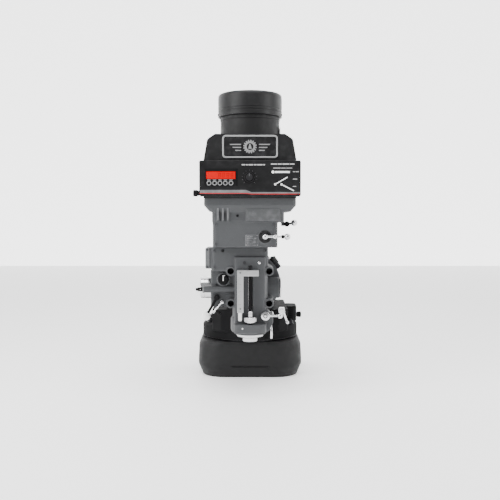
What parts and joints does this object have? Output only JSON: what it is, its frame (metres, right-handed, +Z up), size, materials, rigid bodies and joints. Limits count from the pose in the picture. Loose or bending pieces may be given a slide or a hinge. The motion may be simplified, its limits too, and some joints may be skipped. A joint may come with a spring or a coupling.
{
  "type": "turret milling machine head",
  "caption": "Turret milling machine head with motor, belt drive, feed controls, sliding quill and spindle, on a swivelling turret with a sliding ram.",
  "frame": {"origin": "turret axis, in the flat bottom face of the column top", "axes": "+Z up along the turret axis, -Y towards the operator, +X to the operator's right"},
  "size_m": [0.381, 0.826, 0.983],
  "materials": {
    "black_paint": "satin black enamel",
    "grey_paint": "satin grey enamel on cast iron",
    "black_aluminium": "satin black enamel",
    "light_grey": "satin",
    "bright_steel": "ground and polished",
    "dark_steel": "blackened",
    "black_plastic": "moulded",
    "rubber": "matt",
    "red_window": "clear red",
    "button_grey": "moulded"
  },
  "bodies": {
    "column": {"column_top": "black_paint"},
    "turret": {"turret_base": "black_paint", "ram_pinion_housing": "black_paint"},
    "ram": {"ram": "black_paint", "ram_rack": "dark_steel", "ram_rear_cover": "black_paint", "nod_pivot_pin": "dark_steel"},
    "ram_handle": {"ram_pinion_shaft": "dark_steel", "ram_handle_knob": "black_plastic"},
    "ram_clamp": {"ram_clamp_lever": "bright_steel"},
    "ram_lock": {"ram_lock_lever": "bright_steel"},
    "adapter": {"ram_adapter": "black_paint"},
    "head": {"quill_housing": "grey_paint", "gear_housing": "grey_paint", "belt_housing": "black_aluminium", "nameplate": "light_grey", "control_panel": "black_aluminium", "display_window": "red_window", "motor_frame": "black_paint", "motor_cap": "black_aluminium", "drive_belt": "rubber", "sleeve_bearing": "bright_steel", "spring_cup": "bright_steel", "clock_spring": "dark_steel", "depth_scale": "light_grey", "stop_screw": "dark_steel", "head_tilt_bolts": "dark_steel"},
    "tilt_adjuster": {"tilt_worm": "dark_steel"},
    "quill": {"quill": "bright_steel", "quill_rack": "dark_steel", "quill_nose_cap": "bright_steel", "quill_stop_block": "dark_steel", "spindle_bearing": "bright_steel"},
    "spindle": {"spindle": "bright_steel", "spindle_shaft": "bright_steel", "drawbar": "dark_steel"},
    "drive": {"drive_pulley": "light_grey", "bull_gear": "dark_steel"},
    "back_gear": {"back_gear": "dark_steel"},
    "motor": {"motor_rotor": "dark_steel", "cooling_fan": "black_plastic", "motor_pulley": "bright_steel"},
    "pinion": {"pinion_shaft": "dark_steel", "pinion_hub_disc": "bright_steel"},
    "stop_nuts": {"stop_nut": "bright_steel", "stop_lock_nut": "bright_steel"},
    "quill_lock": {"quill_lock_lever": "bright_steel"},
    "range_selector": {"range_lever": "bright_steel"},
    "brake": {"brake_lever": "black_plastic"},
    "feed_trip": {"feed_trip_lever": "black_plastic"},
    "feed_engage": {"feed_engage_lever": "bright_steel"},
    "feed_selector": {"feed_selector_dial": "black_plastic"},
    "fine_feed": {"fine_feed_shaft": "black_plastic"},
    "speed_control": {"speed_knob": "black_plastic"},
    "power_switch": {"switch_knob": "black_plastic"},
    "button_1": {"panel_button_1": "button_grey"},
    "button_2": {"panel_button_2": "button_grey"},
    "button_3": {"panel_button_3": "button_grey"},
    "button_4": {"panel_button_4": "button_grey"},
    "button_5": {"panel_button_5": "button_grey"}
  },
  "joints": [
    {"name": "turret_swivel", "type": "hinge", "parent": "column", "child": "turret", "pos_m": [0, 0, 0.127], "axis": [0, 0, 1], "continuous": true},
    {"name": "ram_slide", "type": "slide", "parent": "turret", "child": "ram", "axis": [0, -1, 0], "range_m": [0, 0.25]},
    {"name": "ram_handle_turn", "type": "hinge", "parent": "turret", "child": "ram_handle", "pos_m": [0.07, 0, 0.204], "axis": [1, 0, 0], "range_deg": [0, 463]},
    {"name": "ram_clamp_turn", "type": "hinge", "parent": "turret", "child": "ram_clamp", "pos_m": [0.112, -0.165, 0.238], "axis": [0, -1, 0], "range_deg": [-35, 35]},
    {"name": "ram_lock_turn", "type": "hinge", "parent": "turret", "child": "ram_lock", "pos_m": [0.0755, -0.165, 0.232], "axis": [0, -1, 0], "range_deg": [-20, 20]},
    {"name": "head_nod", "type": "hinge", "parent": "ram", "child": "adapter", "pos_m": [0, -0.178, 0.349], "axis": [-1, 0, 0], "range_deg": [-20, 45]},
    {"name": "head_tilt", "type": "hinge", "parent": "adapter", "child": "head", "pos_m": [0, -0.268, 0.349], "axis": [0, 1, 0], "range_deg": [-90, 90]},
    {"name": "tilt_worm_turn", "type": "hinge", "parent": "head", "child": "tilt_adjuster", "pos_m": [0.084, -0.288, 0.4175], "axis": [0.58, 0, -0.8146], "range_deg": [-3600, 3600]},
    {"name": "quill_feed", "type": "slide", "parent": "head", "child": "quill", "axis": [0, 0, -1], "range_m": [0, 0.127]},
    {"name": "pinion_turn", "type": "hinge", "parent": "head", "child": "pinion", "pos_m": [0, -0.3365, 0.338], "axis": [1, 0, 0], "range_deg": [0, 361]},
    {"name": "motor_spin", "type": "hinge", "parent": "head", "child": "motor", "pos_m": [0, -0.25, 0.8], "axis": [0, 0, 1], "continuous": true},
    {"name": "drive_spin", "type": "hinge", "parent": "head", "child": "drive", "pos_m": [0, -0.4, 0.6], "axis": [0, 0, 1], "continuous": true},
    {"name": "back_gear_spin", "type": "hinge", "parent": "head", "child": "back_gear", "pos_m": [0, -0.33, 0.5], "axis": [0, 0, 1], "continuous": true},
    {"name": "spindle_spin", "type": "hinge", "parent": "quill", "child": "spindle", "pos_m": [0, -0.4, 0.3], "axis": [0, 0, 1], "continuous": true},
    {"name": "stop_nut_slide", "type": "slide", "parent": "head", "child": "stop_nuts", "axis": [0, 0, -1], "range_m": [-0.1, 0]},
    {"name": "quill_lock_turn", "type": "hinge", "parent": "head", "child": "quill_lock", "pos_m": [0.0476, -0.468, 0.2626], "axis": [0, -1, 0], "range_deg": [0, 40]},
    {"name": "range_select", "type": "hinge", "parent": "head", "child": "range_selector", "pos_m": [0.046, -0.495, 0.509], "axis": [0, -1, 0], "range_deg": [-32, 32]},
    {"name": "brake_turn", "type": "hinge", "parent": "head", "child": "brake", "pos_m": [0.118, -0.392, 0.5472], "axis": [0, -1, 0], "range_deg": [-20, 20]},
    {"name": "feed_trip_turn", "type": "hinge", "parent": "head", "child": "feed_trip", "pos_m": [-0.1048, -0.425, 0.315], "axis": [0, 1, 0], "range_deg": [0, 25]},
    {"name": "feed_engage_turn", "type": "hinge", "parent": "head", "child": "feed_engage", "pos_m": [-0.088, -0.425, 0.3], "axis": [0, -1, 0], "range_deg": [0, 25]},
    {"name": "feed_selector_turn", "type": "hinge", "parent": "head", "child": "feed_selector", "pos_m": [-0.0844, -0.425, 0.372], "axis": [0, -1, 0], "range_deg": [-60, 60]},
    {"name": "fine_feed_turn", "type": "hinge", "parent": "head", "child": "fine_feed", "pos_m": [-0.1, -0.43, 0.3405], "axis": [1, 0, 0], "continuous": true},
    {"name": "speed_knob_turn", "type": "hinge", "parent": "head", "child": "speed_control", "pos_m": [-0.002, -0.53, 0.688], "axis": [0, 1, 0], "range_deg": [0, 270]},
    {"name": "power_switch_turn", "type": "hinge", "parent": "head", "child": "power_switch", "pos_m": [-0.153, -0.518, 0.641], "axis": [-1, 0, 0], "range_deg": [-45, 45]},
    {"name": "button_1_press", "type": "slide", "parent": "head", "child": "button_1", "axis": [0, 1, 0], "range_m": [0, 0.0015], "stiffness_N_per_m": 400},
    {"name": "button_2_press", "type": "slide", "parent": "head", "child": "button_2", "axis": [0, 1, 0], "range_m": [0, 0.0015], "stiffness_N_per_m": 400},
    {"name": "button_3_press", "type": "slide", "parent": "head", "child": "button_3", "axis": [0, 1, 0], "range_m": [0, 0.0015], "stiffness_N_per_m": 400},
    {"name": "button_4_press", "type": "slide", "parent": "head", "child": "button_4", "axis": [0, 1, 0], "range_m": [0, 0.0015], "stiffness_N_per_m": 400},
    {"name": "button_5_press", "type": "slide", "parent": "head", "child": "button_5", "axis": [0, 1, 0], "range_m": [0, 0.0015], "stiffness_N_per_m": 400}
  ],
  "couplings": [
    {"joint": "ram_handle_turn", "follows": "ram_slide", "rad_per_m": 32.258},
    {"joint": "tilt_worm_turn", "follows": "head_tilt", "ratio": 40},
    {"joint": "pinion_turn", "follows": "quill_feed", "rad_per_m": 49.505},
    {"joint": "drive_spin", "follows": "motor_spin", "ratio": 0.5977},
    {"joint": "back_gear_spin", "follows": "motor_spin", "ratio": -0.9962},
    {"joint": "spindle_spin", "follows": "motor_spin", "ratio": 0.5977}
  ]
}
